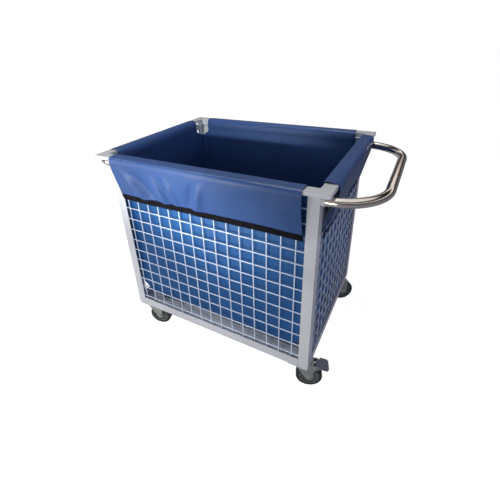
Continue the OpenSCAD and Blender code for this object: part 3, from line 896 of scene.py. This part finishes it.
def add_lamp(kind, name, place, target, power):
    data = bpy.data.lights.new(name, kind)
    data.energy = power
    light = bpy.data.objects.new(name, data)
    light.location = place
    light.rotation_euler = (Vector(target) - Vector(place)).to_track_quat("-Z", "Y").to_euler()
    bpy.context.scene.collection.objects.link(light)
    return data


def add_area(name, place, target, size, power):
    data = add_lamp("AREA", name, place, target, power)
    data.shape, data.size, data.size_y = "RECTANGLE", *size


def add_spot(name, place, target, angle, radius, power):
    """A spot that fades all the way from its middle to its edge."""
    data = add_lamp("SPOT", name, place, target, power)
    data.spot_size, data.spot_blend, data.shadow_soft_size = math.radians(angle), 1.0, radius


def make_lights():
    """Spots from the front left that fade towards the right and the edges, and three soft fills."""
    for name, spot in SPOTS.items():
        add_spot(name, *spot)
    for name, area in AREAS.items():
        add_area(name, *area)


def mix_colours(tree, factor, first, second):
    mix = add_node(tree, "Mix", {"data_type": "RGBA"}, {"Factor": factor, 6: first, 7: second})
    return mix.outputs[2]


def sky_colour(tree, direction):
    """Pale at the horizon, dark overhead, and brighter towards the right."""
    height = direction.outputs["Z"]
    near = two_colours(tree, height, SKY_LEFT, SKY_DARK, HORIZON, SKY_HIGH)
    far = two_colours(tree, height, SKY_RIGHT, SKY_DARK, HORIZON, SKY_HIGH)
    return mix_colours(tree, direction.outputs["X"], near, far)


def panel_colour(tree, direction):
    """Light and dark bands for the metal to reflect."""
    panels = two_colours(tree, direction.outputs["Z"], PANEL_LOW, PANEL_HIGH, PANEL_START, PANEL_END)
    for place, level in PANEL_BANDS:
        colour = [level * tint for tint in PANEL_TINT]
        panels.node.color_ramp.elements.new(place).color = (*colour, 1)
    return panels


def make_world():
    """A sky that lights the cage, panels that only reflections see, and white for the camera."""
    world = bpy.data.worlds.new("studio")
    bpy.context.scene.world = world
    world.use_nodes = True
    tree = world.node_tree
    coordinates = add_node(tree, "TexCoord").outputs["Generated"]
    direction = add_node(tree, "SeparateXYZ", inputs={0: coordinates})
    ray = add_node(tree, "LightPath").outputs
    sky, panels = sky_colour(tree, direction), panel_colour(tree, direction)
    lit = mix_colours(tree, ray["Is Glossy Ray"], sky, panels)
    seen = mix_colours(tree, ray["Is Camera Ray"], lit, (1, 1, 1, 1))
    tree.links.new(seen, tree.nodes["Background"].inputs["Color"])


def make_floor():
    """A pale floor: its glow fades to the right, and the camera sees it nearly white."""
    signs = (-1, -1), (1, -1), (1, 1), (-1, 1)
    corners = [Vector((x * FLOOR_SIZE, y * FLOOR_SIZE, 0)) for x, y in signs]
    material, tree, shader = new_material("floor", Roughness=0.9, Specular_IOR_Level=0.1,
                                          Emission_Color=(1, 1, 1, 1))
    pale = two_colours(tree, mottle(tree, FLOOR_MOTTLE), (0.40, 0.40, 0.40), (0.42, 0.42, 0.42))
    tree.links.new(pale, shader.inputs["Base Color"])
    along = add_node(tree, "SeparateXYZ", inputs={0: own_coordinates(tree)}).outputs["X"]
    glow = add_node(tree, "MapRange", inputs={"Value": along, **FLOOR_GLOW}).outputs["Result"]
    camera_ray = add_node(tree, "LightPath").outputs["Is Camera Ray"]
    seen = calculate(tree, "MULTIPLY", camera_ray, FLOOR_SEEN)
    tree.links.new(calculate(tree, "MAXIMUM", glow, seen), shader.inputs["Emission Strength"])
    add_object("floor", corners, [(0, 1, 2, 3)], [material], body=None)


def make_scene():
    make_camera()
    make_world()
    make_lights()
    make_floor()
    bpy.context.scene.view_settings.view_transform = "Standard"
    materials = make_materials()
    for name, node in frame["nodes"].items():
        dress_cad_node(name, node, materials)
    hang_bag(materials)
    make_flaps(materials)
    make_welds(materials)
    make_socket_welds(materials)
    for corner in ("front_left", "front_right", "back_left", "back_right"):
        make_castor_details(corner, materials)


make_scene()
